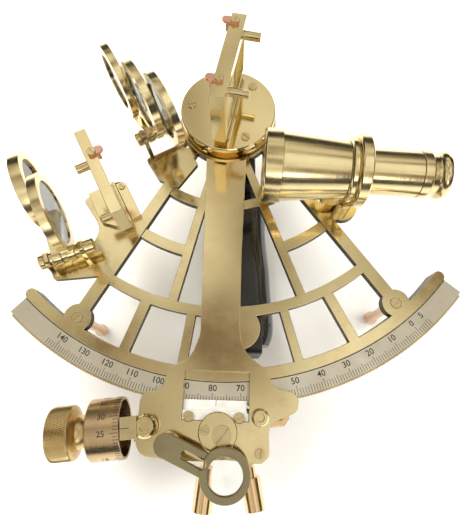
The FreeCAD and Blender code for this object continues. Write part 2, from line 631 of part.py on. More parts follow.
def magnifier():
    pv, pu = MAGNIFIER_PIVOT
    rv, ru = RING_CENTRE
    body = bar((pv, -pu), (rv - 6.0, -ru + 2.2), 9.2, MAG_Z, MAG_Z + 3.2)
    body = body.fuse([cyl(4.6, 3.2, (pv, -pu, MAG_Z)), cyl(9.9, 5.0, (rv, -ru, MAG_Z))])
    body = body.cut(cyl(7.0, 20, (rv, -ru, MAG_Z - 5)))
    body = body.cut(cyl(7.5, 3.4, (rv, -ru, MAG_Z + 1.0)))
    slot_a = (pv + 8.0, -(pu + 3.2))
    slot_b = (pv + 15.0, -(pu + 6.2))
    body = body.cut(bar(slot_a, slot_b, 3.6, MAG_Z - 1, MAG_Z + 6))
    for x, y in (slot_a, slot_b):
        body = body.cut(cyl(1.8, 9, (x, y, MAG_Z - 1)))
    body = body.cut(cyl(2.5 + RUN, 2.4, (pv, -pu, MAG_Z - 0.1)))
    add("magnifier_arm", arm(body))
    lens = turned([(0, 0), (0.4, 7.45), (1.8, 7.45), (3.0, 0)], (rv, -ru, MAG_Z + 1.02), (0, 0, 1))
    add("magnifier_lens", arm(lens))


# ---------------------------------------------------------------- worm carriage and drum

def in_worm_frame(shape):
    """From (x along the worm toward the drum, y outward, z up) to the rest pose."""
    v, u = worm_frame_point(0, 0)
    shape.rotate(V(0, 0, 0), UP, 180 + WORM_SIDE_ANGLE)
    shape.translate(V(v, -u, 0))
    return arm(shape)


def worm_carriage():
    top = ARM_Z - 0.45
    body = box(-11.6, 55.0, -2.2, 6.2, -6.6, top)
    corner = bar((-16.0, -1.5), (-4.0, 10.5), 12.0, -10, 5)
    corner.translate(V(-4.6, 4.6, 0))
    body = body.cut(corner)
    body = body.cut(box(-8.4, 8.4, -10, 3.5, -6.1, 5))
    body = body.cut(cyl(WORM_JOURNAL_R + RUN, 80, (-11.0, 0, WORM_Z), (1, 0, 0)))
    body = body.cut(cyl(2.52, 5, (PIVOT_W, 0, top - 0.9)))
    ear = box(-2.0, 12.0, 6.0, 14.4, -6.6, -3.6)
    add("worm_carriage", in_worm_frame(body.fuse(ear)))
    lever = release_lever(13.6, 166.0, 18.0, 187.6)
    lug = box(11.6, 16.4, -171.0, -163.2, -3.55, -1.0)
    add("moving_release_lever", arm(lever.fuse(lug)))
    post = turned([(0, 0), (0, 2.5), (ARM_TOP - top + 1.25, 2.5), (ARM_TOP - top + 1.25, 4.2),
                   (ARM_TOP - top + 2.6, 4.9), (9.0, 4.9), (10.4, 3.6), (10.4, 2.2), (8.8, 2.2),
                   (8.8, 0)], (PIVOT_W, 0, top - 0.88), (0, 0, 1))
    finger = box(PIVOT_W + 3.0, DRUM_W - 0.5, -4.4, 4.4, 8.2, 10.2)
    finger = finger.fuse(box(PIVOT_W + 3.0, PIVOT_W + 6.0, -4.4, 4.4, 5.4, 8.3))
    add("drum_index", in_worm_frame(post.fuse(finger)))


def drum_parts():
    axis = (1, 0, 0)
    base = (0, 0, WORM_Z)
    shaft = turned([(-10.8, 0), (-10.8, WORM_JOURNAL_R), (-8.0, WORM_JOURNAL_R), (-8.0, 2.2),
                    (8.0, 2.2), (8.0, WORM_JOURNAL_R), (KNOB_W + 9.0, WORM_JOURNAL_R),
                    (KNOB_W + 9.0, 0)], base, axis)
    pitch = 2 * math.pi * RACK_TIP / TEETH_PER_TURN
    threads = []
    turns = int(15.0 / pitch)
    for i in range(turns):
        w = -7.4 + i * pitch
        threads.append(turned([(w, 2.1), (w + pitch * 0.3, WORM_R), (w + pitch * 0.5, WORM_R),
                               (w + pitch * 0.8, 2.1)], base, axis))
    add("worm_shaft", in_worm_frame(shaft.fuse(threads)))
    r0 = WORM_JOURNAL_R + 0.01
    drum = turned([(DRUM_W, DRUM_R - 1.2), (DRUM_W, DRUM_R), (DRUM_W + DRUM_L - 0.6, DRUM_R),
                   (DRUM_W + DRUM_L, DRUM_R - 0.6), (DRUM_W + DRUM_L, r0),
                   (DRUM_W + DRUM_L - 2.5, r0), (DRUM_W + DRUM_L - 2.5, DRUM_R - 1.2)], base, axis)
    add("micrometer_drum", in_worm_frame(drum))
    w0, w1 = KNOB_W, KNOB_W + KNOB_L
    knob = turned([(DRUM_W + DRUM_L + 0.02, r0), (DRUM_W + DRUM_L + 0.02, 8.0), (w0 - 0.6, 6.6),
                   (w0 + 2.0, 7.2), (w0 + 3.4, 10.4), (w0 + 4.6, KNOB_R), (w1 - 1.4, KNOB_R),
                   (w1, KNOB_R - 2.0), (w1, 0), (KNOB_W + 9.02, 0), (KNOB_W + 9.02, r0)], base, axis)
    add("drum_knob", in_worm_frame(knob))


def build():
    add("frame", frame_casting())
    add("arc_scale", arc_scale())
    add("arc_rack", arc_rack())
    screws = legs_and_screws()
    pivot_bearing()
    screws += handle()
    add("frame_screws", Part.makeCompound(screws))
    telescope()
    mirrors()
    shades()
    index_arm()
    arm_fittings()
    magnifier()
    worm_carriage()
    drum_parts()
    os.makedirs("parts", exist_ok=True)
    for name, shape in nodes.items():
        shape.translate(V(0, 0, 0) - ORIGIN)
        shape.exportStep("parts/%s.step" % name)


build()
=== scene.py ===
import bmesh
import bpy
import json
import math
from bpy.props import FloatProperty, FloatVectorProperty, IntProperty, PointerProperty
from mathutils import Matrix, Vector


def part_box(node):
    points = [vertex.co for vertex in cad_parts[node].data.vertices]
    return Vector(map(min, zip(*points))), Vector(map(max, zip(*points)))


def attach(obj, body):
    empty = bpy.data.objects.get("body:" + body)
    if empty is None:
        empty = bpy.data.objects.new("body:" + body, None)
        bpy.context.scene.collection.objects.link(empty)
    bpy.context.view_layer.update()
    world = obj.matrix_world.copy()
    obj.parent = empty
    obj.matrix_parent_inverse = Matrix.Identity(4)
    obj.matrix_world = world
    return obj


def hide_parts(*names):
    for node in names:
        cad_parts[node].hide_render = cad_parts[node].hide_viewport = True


bl_info = {
    "name": "Nautical sextant",
    "version": (1, 0, 0),
    "blender": (4, 5, 0),
    "location": "3D View > Sidebar > Sextant",
    "description": "Finishes the brass sextant: metals, glass, engraved scales, knurled knob and stage",
    "category": "Object",
}

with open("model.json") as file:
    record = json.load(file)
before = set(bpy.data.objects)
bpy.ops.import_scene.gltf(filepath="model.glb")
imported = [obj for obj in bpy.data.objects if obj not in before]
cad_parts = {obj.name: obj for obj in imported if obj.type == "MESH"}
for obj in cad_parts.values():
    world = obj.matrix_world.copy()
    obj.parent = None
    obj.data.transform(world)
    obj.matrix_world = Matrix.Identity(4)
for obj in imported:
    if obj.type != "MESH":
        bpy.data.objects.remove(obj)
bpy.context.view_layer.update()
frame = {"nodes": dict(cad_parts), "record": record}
RECORD = frame["record"]
JOINTS = {joint["name"]: joint for joint in RECORD["behaviour"]["joints"]}
BODY_OF = {node: body for body, nodes in RECORD["behaviour"]["bodies"].items() for node in nodes}
PIVOT = Vector(JOINTS["index_swing"]["pos_m"])
DRUM_CENTRE = Vector(JOINTS["drum_spin"]["pos_m"])
DRUM_AXIS = Vector(JOINTS["drum_spin"]["axis"]).normalized()

# The scale: angle of its zero, degrees of reading per degree of arc, and the arm's rest reading
SCALE_ZERO = -52.7
READING_PER_DEGREE = 2.0
REST_READING = 78.5
DRUM_REST_READING = 26.0

# Arc marks, as distances from the pivot: where the lines of each length begin, and where all end
TEN_DEGREE_START, FIVE_DEGREE_START, DEGREE_START = 0.1421, 0.1427, 0.1434
DEGREE_END = 0.1462
ARC_MARK_HEIGHT = 0.00006

# Border line inside the figures: its radius, half its width, and its start and run in degrees
BORDER_RADIUS, BORDER_HALF_WIDTH = 0.13752, 0.00016
BORDER_START, BORDER_RUN = -133.8, 92.6

# Drum marks, as distances along the drum's axis from the joint: finger, line ends, figures
FINGER_PLACE, MINUTE_START, MINUTE_FIGURES = 0.0583, 0.05925, 0.0662
MINUTES = 60
MINUTE_LENGTH, FIVE_MINUTE_LENGTH = 0.0022, 0.0034
MINUTE_FIGURE_SIZE = 0.0033
DRUM_MARK_HEIGHT = 0.00008

# Index line on the arm's white plate: start from the pivot, height above the scale, length
ARM_LINE_START, ARM_LINE_RISE, ARM_LINE_LENGTH = 0.1450, 0.0020, 0.0024

# Knurled band of the knob: where it begins along the drum's axis, its length and radius
KNURL_START, KNURL_LENGTH, KNURL_RADIUS = 0.0811, 0.0079, 0.01128
KNURL_STEPS = 8

# Camera: place from the pivot, tilt back from straight down in degrees
CAMERA_FROM_PIVOT = Vector((0.0017, -0.1439, 0.1897))
CAMERA_TILT = 18.7

# Area lights: name, place, width, share of the key light's power, colour
LIGHTS = (
    ("key", (-0.65, 0.45, 0.95), 1.1, 1.0, (1.0, 0.99, 0.97)),
    ("fill", (0.80, 0.10, 0.90), 1.0, 0.7, (1.0, 1.0, 1.0)),
    ("front", (0.25, -1.30, 0.85), 0.5, 0.10, (1.0, 0.99, 0.98)),
)
LIGHT_TARGET = Vector((0, 0, 0.03))
ROOM_BRIGHTNESS = 1.22


# ---------------------------------------------------------------- settings

class SextantMetals(bpy.types.PropertyGroup):
    brass: FloatVectorProperty(
        name="Brass", description="Colour of the clean polished brass", subtype="COLOR",
        size=3, min=0.0, max=1.0, default=(0.80, 0.675, 0.38))
    tarnish: FloatVectorProperty(
        name="Tarnish", description="Colour of the brass where it has begun to tarnish", subtype="COLOR",
        size=3, min=0.0, max=1.0, default=(0.70, 0.42, 0.20))
    silver: FloatVectorProperty(
        name="Silvering", description="Colour of the silvered scale", subtype="COLOR",
        size=3, min=0.0, max=1.0, default=(0.82, 0.77, 0.64))
    edge_width: FloatProperty(
        name="Edge rounding", description="Width of the rounding on the castings' edges",
        subtype="DISTANCE", unit="LENGTH", min=0.0, max=0.001, precision=5, default=0.00028)


class SextantMarks(bpy.types.PropertyGroup):
    figure_height: FloatProperty(
        name="Figure size", description="Font size of the figures on the arc",
        subtype="DISTANCE", unit="LENGTH", min=0.001, max=0.006, precision=5, default=0.0038)
    figure_radius: FloatProperty(
        name="Figure radius", description="Distance from the pivot to the middle of the figures",
        subtype="DISTANCE", unit="LENGTH", min=0.12, max=0.16, precision=5, default=0.1401)
    line_width: FloatProperty(
        name="Line width", description="Width of an engraved line",
        subtype="DISTANCE", unit="LENGTH", min=0.00005, max=0.0006, precision=5, default=0.00022)
    last_reading: IntProperty(
        name="Last reading", description="Last degree line on the arc", min=100, max=150, default=144)
    first_reading: IntProperty(
        name="First reading", description="First degree line, past zero", min=-10, max=0, default=-6)


class SextantKnob(bpy.types.PropertyGroup):
    ridges: IntProperty(
        name="Ridges", description="Ridges of the knurl round the knob", min=30, max=140, default=88)
    depth: FloatProperty(
        name="Knurl depth", description="Depth of the knurl", subtype="DISTANCE", unit="LENGTH",
        min=0.0, max=0.0006, precision=5, default=0.00026)
    twist: FloatProperty(
        name="Knurl twist", description="Turn of the ridges from one end to the other",
        subtype="ANGLE", min=0.0, max=1.0, default=math.radians(15.0))


class SextantStage(bpy.types.PropertyGroup):
    floor_size: FloatProperty(
        name="Floor size", description="Side of the pale floor", subtype="DISTANCE", unit="LENGTH",
        min=1.0, max=20.0, default=6.0)
    light: FloatProperty(
        name="Key light", description="Power of the key light", min=0.0, max=200.0, default=18.0)
    focal_length: FloatProperty(
        name="Focal length", description="Camera lens in millimetres", min=10.0, max=200.0, default=28.65)


# ---------------------------------------------------------------- shader groups

def socket(tree, name, way, kind, default=None, low=None, high=None):
    item = tree.interface.new_socket(name=name, in_out=way, socket_type=kind)
    if default is not None:
        item.default_value = default
    if low is not None:
        item.min_value = low
        item.max_value = high
    return item


def node(tree, kind, x, y, **settings):
    made = tree.nodes.new(kind)
    made.location = (x, y)
    for key, value in settings.items():
        setattr(made, key, value)
    return made


def ramp(tree, x, y, low, high):
    made = node(tree, "ShaderNodeMapRange", x, y)
    made.inputs["From Min"].default_value = low
    made.inputs["From Max"].default_value = high
    return made


def worn_metal_group():
    """Hand-polished metal: cloudy tarnish, soft and bright patches, and fine scratches."""
    name = "worn_metal"
    if name in bpy.data.node_groups:
        return bpy.data.node_groups[name]
    tree = bpy.data.node_groups.new(name, "ShaderNodeTree")
    socket(tree, "Vector", "INPUT", "NodeSocketVector")
    socket(tree, "Clean", "INPUT", "NodeSocketColor", (0.8, 0.65, 0.35, 1.0))
    socket(tree, "Tarnish", "INPUT", "NodeSocketColor", (0.6, 0.4, 0.2, 1.0))
    socket(tree, "Amount", "INPUT", "NodeSocketFloat", 0.4, 0.0, 1.0)
    socket(tree, "Smooth", "INPUT", "NodeSocketFloat", 0.08, 0.0, 1.0)
    socket(tree, "Rough", "INPUT", "NodeSocketFloat", 0.3, 0.0, 1.0)
    socket(tree, "Color", "OUTPUT", "NodeSocketColor")
    socket(tree, "Roughness", "OUTPUT", "NodeSocketFloat")
    socket(tree, "Height", "OUTPUT", "NodeSocketFloat")
    given = node(tree, "NodeGroupInput", -900, 0)
    out = node(tree, "NodeGroupOutput", 700, 0)
    clouds = node(tree, "ShaderNodeTexNoise", -650, 250)
    clouds.inputs["Scale"].default_value = 38.0
    clouds.inputs["Detail"].default_value = 5.0
    clouds.inputs["Roughness"].default_value = 0.6
    clouds.inputs["Distortion"].default_value = 0.4
    cloud_mask = ramp(tree, -430, 250, 0.42, 0.72)
    amount = node(tree, "ShaderNodeMath", -220, 250, operation="MULTIPLY")
    tint = node(tree, "ShaderNodeMix", 40, 250, data_type="RGBA", blend_type="MIX")
    wipes = node(tree, "ShaderNodeTexNoise", -650, -60)
    wipes.inputs["Scale"].default_value = 90.0
    wipes.inputs["Detail"].default_value = 6.0
    wipes.inputs["Roughness"].default_value = 0.7
    wipe_mask = ramp(tree, -430, -60, 0.35, 0.7)
    rough = node(tree, "ShaderNodeMix", 40, -60, data_type="FLOAT")
    stretch = node(tree, "ShaderNodeMapping", -650, -380)
    stretch.inputs["Rotation"].default_value = (0.2, 0.1, 0.6)
    stretch.inputs["Scale"].default_value = (1.0, 14.0, 5.0)
    hairs = node(tree, "ShaderNodeTexNoise", -430, -380)
    hairs.inputs["Scale"].default_value = 260.0
    hairs.inputs["Detail"].default_value = 3.0
    hair_mask = ramp(tree, -220, -380, 0.3, 0.7)
    link = tree.links.new
    link(given.outputs["Vector"], clouds.inputs["Vector"])
    link(given.outputs["Vector"], wipes.inputs["Vector"])
    link(given.outputs["Vector"], stretch.inputs["Vector"])
    link(stretch.outputs["Vector"], hairs.inputs["Vector"])
    link(clouds.outputs["Fac"], cloud_mask.inputs["Value"])
    link(cloud_mask.outputs["Result"], amount.inputs[0])
    link(given.outputs["Amount"], amount.inputs[1])
    link(amount.outputs["Value"], tint.inputs["Factor"])
    link(given.outputs["Clean"], tint.inputs["A"])
    link(given.outputs["Tarnish"], tint.inputs["B"])
    link(wipes.outputs["Fac"], wipe_mask.inputs["Value"])
    link(wipe_mask.outputs["Result"], rough.inputs["Factor"])
    link(given.outputs["Smooth"], rough.inputs["A"])
    link(given.outputs["Rough"], rough.inputs["B"])
    link(hairs.outputs["Fac"], hair_mask.inputs["Value"])
    link(tint.outputs["Result"], out.inputs["Color"])
    link(rough.outputs["Result"], out.inputs["Roughness"])
    link(hair_mask.outputs["Result"], out.inputs["Height"])
    return tree


def brushed_group():
    """Fine parallel lines of a brushed or turned surface, across the vector's X."""
    name = "brushed_lines"
    if name in bpy.data.node_groups:
        return bpy.data.node_groups[name]
    tree = bpy.data.node_groups.new(name, "ShaderNodeTree")
    socket(tree, "Vector", "INPUT", "NodeSocketVector")
    socket(tree, "Density", "INPUT", "NodeSocketFloat", 900.0, 1.0, 9000.0)
    socket(tree, "Mask", "OUTPUT", "NodeSocketFloat")
    given = node(tree, "NodeGroupInput", -700, 0)
    out = node(tree, "NodeGroupOutput", 300, 0)
    stretch = node(tree, "ShaderNodeMapping", -480, 0)
    stretch.inputs["Scale"].default_value = (1.0, 0.02, 0.02)
    lines = node(tree, "ShaderNodeTexNoise", -260, 0)
    lines.inputs["Detail"].default_value = 2.0
    mask = ramp(tree, -40, 0, 0.3, 0.7)
    link = tree.links.new
    link(given.outputs["Vector"], stretch.inputs["Vector"])
    link(stretch.outputs["Vector"], lines.inputs["Vector"])
    link(given.outputs["Density"], lines.inputs["Scale"])
    link(lines.outputs["Fac"], mask.inputs["Value"])
    link(mask.outputs["Result"], out.inputs["Mask"])
    return tree


# ---------------------------------------------------------------- materials

def plain_material(name, metallic, roughness):
    """Material with an empty Principled shader, its tree and its Object coordinates."""
    made = bpy.data.materials.new(name + "_finish")
    made.use_nodes = True
    tree = made.node_tree
    tree.nodes.clear()
    out = node(tree, "ShaderNodeOutputMaterial", 500, 0)
    shader = node(tree, "ShaderNodeBsdfPrincipled", 200, 0)
    shader.inputs["Metallic"].default_value = metallic
    shader.inputs["Roughness"].default_value = roughness
    tree.links.new(shader.outputs["BSDF"], out.inputs["Surface"])
    place = node(tree, "ShaderNodeTexCoord", -900, 0)
    return made, tree, shader, place.outputs["Object"]


def group_node(tree, group, x, y, **values):
    made = node(tree, "ShaderNodeGroup", x, y)
    made.node_tree = group
    for key, value in values.items():
        made.inputs[key.replace("_", " ").title()].default_value = value
    return made


def opaque(colour):
    return (colour[0], colour[1], colour[2], 1.0)


def metal(name, clean, tarnish, amount, smooth, rough, bump=0.03, lines=None, turn=0.0):
    """Worn metal; lines gives the density of brushed or turned marks and turn their direction."""
    made, tree, shader, place = plain_material(name, 1.0, smooth)
    worn = group_node(tree, worn_metal_group(), -350, 100, clean=opaque(clean), tarnish=opaque(tarnish),
                      amount=amount, smooth=smooth, rough=rough)
    bump_node = node(tree, "ShaderNodeBump", -60, -200)
    bump_node.inputs["Strength"].default_value = bump
    bump_node.inputs["Distance"].default_value = 0.0001
    link = tree.links.new
    link(place, worn.inputs["Vector"])
    link(worn.outputs["Color"], shader.inputs["Base Color"])
    link(worn.outputs["Roughness"], shader.inputs["Roughness"])
    if lines is None:
        link(worn.outputs["Height"], bump_node.inputs["Height"])
    else:
        mapping = node(tree, "ShaderNodeMapping", -650, -250)
        mapping.inputs["Rotation"].default_value = (0.0, 0.0, turn)
        marks = group_node(tree, brushed_group(), -350, -250, density=lines)
        link(place, mapping.inputs["Vector"])
        link(mapping.outputs["Vector"], marks.inputs["Vector"])
        link(marks.outputs["Mask"], bump_node.inputs["Height"])
    link(bump_node.outputs["Normal"], shader.inputs["Normal"])
    return made


def coated(name, base, other, roughness, metallic=0.0, coat=0.0, scale=60.0, bump=0.05):
    """Paint, plastic or lacquered surface with a faint mottle."""
    made, tree, shader, place = plain_material(name, metallic, roughness)
    shader.inputs["Coat Weight"].default_value = coat
    shader.inputs["Coat Roughness"].default_value = 0.08
    mottle = node(tree, "ShaderNodeTexNoise", -600, 100)
    mottle.inputs["Scale"].default_value = scale
    mottle.inputs["Detail"].default_value = 6.0
    mask = ramp(tree, -380, 100, 0.35, 0.68)
    tint = node(tree, "ShaderNodeMix", -120, 100, data_type="RGBA")
    tint.inputs["A"].default_value = opaque(base)
    tint.inputs["B"].default_value = opaque(other)
    gloss = ramp(tree, -120, -120, 0.3, 0.7)
    gloss.inputs["To Min"].default_value = roughness * 0.8
    gloss.inputs["To Max"].default_value = min(1.0, roughness * 1.35)
    bump_node = node(tree, "ShaderNodeBump", -60, -360)
    bump_node.inputs["Strength"].default_value = bump
    bump_node.inputs["Distance"].default_value = 0.0002
    link = tree.links.new
    link(place, mottle.inputs["Vector"])
    link(mottle.outputs["Fac"], mask.inputs["Value"])
    link(mask.outputs["Result"], tint.inputs["Factor"])
    link(mottle.outputs["Fac"], gloss.inputs["Value"])
    link(tint.outputs["Result"], shader.inputs["Base Color"])
    link(gloss.outputs["Result"], shader.inputs["Roughness"])
    link(mottle.outputs["Fac"], bump_node.inputs["Height"])
    link(bump_node.outputs["Normal"], shader.inputs["Normal"])
    return made


def glass(name, colour, smear, transmission, roughness):
    made, tree, shader, place = plain_material(name, 0.0, roughness)
    shader.inputs["Transmission Weight"].default_value = transmission
    shader.inputs["IOR"].default_value = 1.5
    shader.inputs["Specular IOR Level"].default_value = 0.2
    film = node(tree, "ShaderNodeTexNoise", -600, 0)
    film.inputs["Scale"].default_value = 70.0
    film.inputs["Detail"].default_value = 4.0
    mask = ramp(tree, -380, 0, 0.45, 0.8)
    tint = node(tree, "ShaderNodeMix", -120, 100, data_type="RGBA")
    tint.inputs["A"].default_value = opaque(colour)
    tint.inputs["B"].default_value = opaque(smear)
    haze = ramp(tree, -120, -150, 0.4, 0.8)
    haze.inputs["To Min"].default_value = roughness
    haze.inputs["To Max"].default_value = roughness + 0.06
    link = tree.links.new
    link(place, film.inputs["Vector"])
    link(film.outputs["Fac"], mask.inputs["Value"])
    link(film.outputs["Fac"], haze.inputs["Value"])
    link(mask.outputs["Result"], tint.inputs["Factor"])
    link(tint.outputs["Result"], shader.inputs["Base Color"])
    link(haze.outputs["Result"], shader.inputs["Roughness"])
    return made


def shades_of(colour, factor):
    return tuple(min(1.0, channel * factor) for channel in colour)


def make_materials():
    """All the finishes, by name."""
    pick = bpy.context.scene.sextant_metals
    brass, tarnish, silver = pick.brass, pick.tarnish, pick.silver
    drum_turn = -math.atan2(DRUM_AXIS.y, DRUM_AXIS.x)
    return {
        "frame_face": metal("frame_face", shades_of(brass, 0.98), tarnish, 0.35, 0.10, 0.24, 0.04),
        "frame_edge": coated("frame_edge", (0.030, 0.026, 0.018), (0.075, 0.058, 0.030), 0.42, 0.6,
                             scale=120.0, bump=0.12),
        "arm_brass": metal("arm_brass", brass, tarnish, 0.38, 0.06, 0.17, 0.03),
        "disc_brass": metal("disc_brass", shades_of(brass, 1.08), tarnish, 0.10, 0.035, 0.09, 0.01),
        "mirror_frame_brass": metal("mirror_frame_brass", brass, tarnish, 0.22, 0.08, 0.2, 0.03),
        "tube_brass": metal("tube_brass", brass, tarnish, 0.25, 0.12, 0.24, 0.10, 2600.0,
                            math.radians(4.0)),
        "ring_brass": metal("ring_brass", brass, tarnish, 0.3, 0.10, 0.26, 0.03),
        "screw_brass": metal("screw_brass", shades_of(brass, 0.95), tarnish, 0.45, 0.14, 0.32, 0.05),
        "clip_copper": metal("clip_copper", (0.86, 0.50, 0.38), (0.62, 0.32, 0.22), 0.4, 0.18, 0.34),
        "leg_copper": metal("leg_copper", (0.72, 0.50, 0.36), (0.50, 0.30, 0.20), 0.5, 0.22, 0.4),
        "lever_brass": metal("lever_brass", (0.86, 0.62, 0.34), (0.78, 0.42, 0.24), 0.5, 0.12, 0.26),
        "magnifier_brass": metal("magnifier_brass", (0.40, 0.345, 0.21), (0.26, 0.20, 0.11), 0.6,
                                 0.26, 0.44, 0.05),
        "knob_brass": metal("knob_brass", (0.74, 0.56, 0.27), (0.42, 0.28, 0.12), 0.5, 0.24, 0.42),
        "drum_brass": metal("drum_brass", (0.60, 0.44, 0.25), (0.36, 0.24, 0.13), 0.55, 0.2, 0.36,
                            0.10, 2400.0, drum_turn),
        "rack_brass": metal("rack_brass", (0.62, 0.48, 0.26), (0.30, 0.21, 0.11), 0.6, 0.3, 0.5),
        "silvering": metal("silvering", silver, (0.55, 0.47, 0.36), 0.45, 0.34, 0.5, 0.05),
        "steel": metal("steel", (0.56, 0.56, 0.55), (0.33, 0.31, 0.28), 0.4, 0.22, 0.4),
        "mirror_face": metal("mirror_face", (0.92, 0.93, 0.93), (0.84, 0.86, 0.86), 0.2, 0.01, 0.03, 0.0),
        "mirror_back": coated("mirror_back", (0.86, 0.87, 0.87), (0.76, 0.77, 0.77), 0.4),
        "index_white": coated("index_white", (0.60, 0.59, 0.55), (0.50, 0.48, 0.43), 0.45, scale=220.0),
        "engraving": coated("engraving", (0.012, 0.011, 0.010), (0.035, 0.030, 0.025), 0.6, scale=900.0),
        "grip_black": coated("grip_black", (0.008, 0.008, 0.009), (0.020, 0.019, 0.018), 0.22, coat=0.6,
                             scale=45.0, bump=0.04),
        "bracket_black": coated("bracket_black", (0.012, 0.012, 0.012), (0.03, 0.028, 0.026), 0.38,
                                scale=260.0, bump=0.15),
        "shade_dark": glass("shade_dark", (0.020, 0.024, 0.022), (0.030, 0.033, 0.031), 0.85, 0.02),
        "shade_grey": glass("shade_grey", (0.30, 0.32, 0.32), (0.36, 0.38, 0.38), 0.9, 0.02),
        "lens_clear": glass("lens_clear", (0.95, 0.97, 0.97), (0.88, 0.90, 0.90), 1.0, 0.01),
    }


NODE_FINISH = {
    "frame": "frame_face", "shade_brackets": "frame_face", "telescope_bracket": "frame_face",
    "pivot_bearing": "frame_face", "pivot_bearing_cap": "frame_face",
    "arc_scale": "silvering", "arc_rack": "rack_brass", "legs": "leg_copper",
    "index_arm": "arm_brass", "pivot_disc": "disc_brass", "lever_pivot_cap": "arm_brass",
    "stop_boss": "ring_brass", "magnifier_post": "ring_brass", "magnifier_arm": "magnifier_brass",
    "index_mirror_frame": "mirror_frame_brass", "horizon_mirror_frame": "mirror_frame_brass",
    "horizon_mirror_base": "mirror_frame_brass", "index_mirror_clips": "clip_copper",
    "horizon_mirror_clips": "clip_copper", "index_mirror_glass": "mirror_face",
    "horizon_mirror_glass": "mirror_face", "frame_screws": "screw_brass",
    "index_mirror_screws": "screw_brass", "horizon_mirror_screws": "screw_brass",
    "arm_screws": "screw_brass", "shade_pins": "screw_brass", "shade_spacers": "screw_brass",
    "index_plate": "index_white", "worm_carriage": "lever_brass", "moving_release_lever": "lever_brass",
    "fixed_release_lever": "lever_brass", "drum_index": "ring_brass", "worm_shaft": "steel",
    "pivot_shaft": "steel", "pivot_retainer": "steel", "release_spring": "steel",
    "micrometer_drum": "drum_brass", "drum_knob": "knob_brass", "telescope_barrel": "tube_brass",
    "telescope_collar": "tube_brass", "objective_cell": "tube_brass", "eyepiece_tube": "tube_brass",
    "eyecup": "tube_brass", "handle_grip": "grip_black", "handle_brackets": "bracket_black",
    "index_shade_1": "ring_brass", "index_shade_2": "ring_brass", "index_shade_3": "ring_brass",
    "horizon_shade_1": "ring_brass", "horizon_shade_2": "ring_brass",
    "index_shade_glass_1": "shade_dark", "index_shade_glass_2": "shade_grey",
    "index_shade_glass_3": "shade_dark", "horizon_shade_glass_1": "shade_dark",
    "horizon_shade_glass_2": "shade_grey", "objective_lens": "lens_clear",
    "eye_lens": "lens_clear", "magnifier_lens": "lens_clear",
}

# Nodes whose edges are rounded, with the share of the set width each takes
EASED = {
    "frame": 1.0, "index_arm": 0.9, "index_mirror_frame": 0.9, "horizon_mirror_frame": 0.9,
    "horizon_mirror_base": 0.9, "magnifier_arm": 1.2, "worm_carriage": 1.0, "shade_brackets": 0.8,
    "telescope_bracket": 1.0, "handle_brackets": 1.5, "pivot_disc": 0.6, "lever_pivot_cap": 0.6,
    "index_plate": 0.5, "moving_release_lever": 0.8, "fixed_release_lever": 0.8, "drum_index": 0.6,
    "index_shade_1": 0.7, "index_shade_2": 0.7, "index_shade_3": 0.7, "horizon_shade_1": 0.8,
    "horizon_shade_2": 0.7, "micrometer_drum": 0.8, "handle_grip": 0.0, "telescope_barrel": 0.5,
    "telescope_collar": 0.8, "objective_cell": 0.8, "eyepiece_tube": 0.6, "eyecup": 0.8,
    "index_mirror_clips": 0.6, "horizon_mirror_clips": 0.6, "stop_boss": 0.6, "magnifier_post": 0.6,
    "legs": 0.5, "index_mirror_screws": 0.35, "horizon_mirror_screws": 0.35, "arm_screws": 0.4,
    "frame_screws": 0.35, "shade_pins": 0.4, "pivot_bearing_cap": 0.8, "pivot_bearing": 0.8,
    "index_mirror_glass": 0.3, "horizon_mirror_glass": 0.3,
}


FINISHES = {}


def shared_material(name):
    if not FINISHES:
        FINISHES.update(make_materials())
    return FINISHES[name]


# ---------------------------------------------------------------- pieces

def finish_object(bm, name, body, materials, smooth_angle=math.radians(32)):
    """Turns a bmesh into a piece that rides on a body."""
    mesh = bpy.data.meshes.new(name)
    bm.to_mesh(mesh)
    bm.free()
    piece = bpy.data.objects.new(name, mesh)
    bpy.context.scene.collection.objects.link(piece)
    for material in materials:
        mesh.materials.append(material)
    for polygon in mesh.polygons:
        polygon.use_smooth = True
    mesh.set_sharp_from_angle(angle=smooth_angle)
    shading = piece.modifiers.new("even_shading", "WEIGHTED_NORMAL")
    shading.keep_sharp = True
    shading.weight = 100
    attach(piece, body)
    return piece


def merged_copy(name):
    bm = bmesh.new()
    bm.from_mesh(frame["nodes"][name].data)
    bmesh.ops.remove_doubles(bm, verts=bm.verts, dist=2e-6)
    bmesh.ops.dissolve_degenerate(bm, edges=bm.edges, dist=1e-6)
    bmesh.ops.dissolve_limit(bm, angle_limit=math.radians(0.6), use_dissolve_boundaries=False,
                             verts=bm.verts, edges=bm.edges)
    return bm


def ease_edges(bm, width):
    sharp = [edge for edge in bm.edges
             if len(edge.link_faces) == 2 and edge.calc_face_angle() > math.radians(34)]
    if width > 0 and sharp:
        bmesh.ops.bevel(bm, geom=sharp, offset=width, offset_type="OFFSET", segments=2, profile=0.5,
                        affect="EDGES", clamp_overlap=False, material=-1, loop_slide=True)


def eased_piece(name, width):
    finish = NODE_FINISH[name]
    bm = merged_copy(name)
    materials = [shared_material(finish)]
    if name == "frame":
        materials.append(shared_material("frame_edge"))
        # Faces more upright than level (the sides of the ribs, arc and hub) get the near-black frame_edge
        # finish; the flat tops keep the brass.
        for face in bm.faces:
            face.material_index = 1 if abs(face.normal.z) < 0.5 else 0
    if name.endswith("mirror_glass"):
        materials.append(shared_material("mirror_back"))
        largest = max(bm.faces, key=lambda face: face.calc_area())
        side = largest.normal.copy()
        if (name == "index_mirror_glass") == (side.x > 0):
            side = -side
        for face in bm.faces:
            face.material_index = 0 if face.normal.dot(side) > 0.9 else 1
    ease_edges(bm, width)
    piece = finish_object(bm, name + "_finished", BODY_OF[name], materials)
    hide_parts(name)
    return piece


